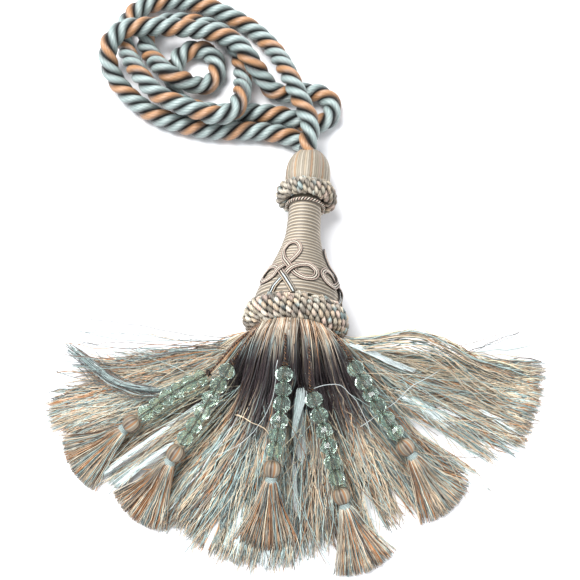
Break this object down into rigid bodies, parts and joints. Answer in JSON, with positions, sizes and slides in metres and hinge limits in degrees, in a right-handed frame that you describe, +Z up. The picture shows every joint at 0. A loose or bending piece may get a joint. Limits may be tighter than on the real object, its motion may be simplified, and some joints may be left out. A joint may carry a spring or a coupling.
{
  "type": "curtain tieback tassel",
  "caption": "Curtain tieback: a coiled twisted rope and a large key tassel with a wrapped mold, ruffs, a spread fringe, beaded strings and small tassels.",
  "frame": {"origin": "on the table, under the middle of the tassel's own bounding box, without the rope", "axes": "+Y along the tassel from the fringe to the head, +X across the fan of the fringe, +Z up from the table"},
  "size_m": [0.2698, 0.3467, 0.0572],
  "materials": {
    "rope": "satin",
    "head_threads": "satin",
    "upper_ruff_cord": "matte",
    "neck_cord": "satin",
    "wrap_cord": "satin",
    "scroll_cord": "satin",
    "lower_ruff_cord": "matte",
    "fringe": "satin",
    "beads": "gloss",
    "small_tassels": "satin"
  },
  "bodies": {
    "root": {"rope_loop": "rope", "tassel_head": "head_threads", "upper_ruff": "upper_ruff_cord", "neck_cord": "neck_cord", "wrapped_mold": "wrap_cord", "lower_ruff": "lower_ruff_cord", "skirt_fringe": "fringe", "scroll_1": "scroll_cord", "scroll_2": "scroll_cord", "scroll_3": "scroll_cord", "bead_string_1": "beads", "mini_tassel_1": "small_tassels", "bead_string_2": "beads", "mini_tassel_2": "small_tassels", "bead_string_3": "beads", "mini_tassel_3": "small_tassels", "bead_string_4": "beads", "mini_tassel_4": "small_tassels", "bead_string_5": "beads", "mini_tassel_5": "small_tassels"}
  },
  "joints": []
}
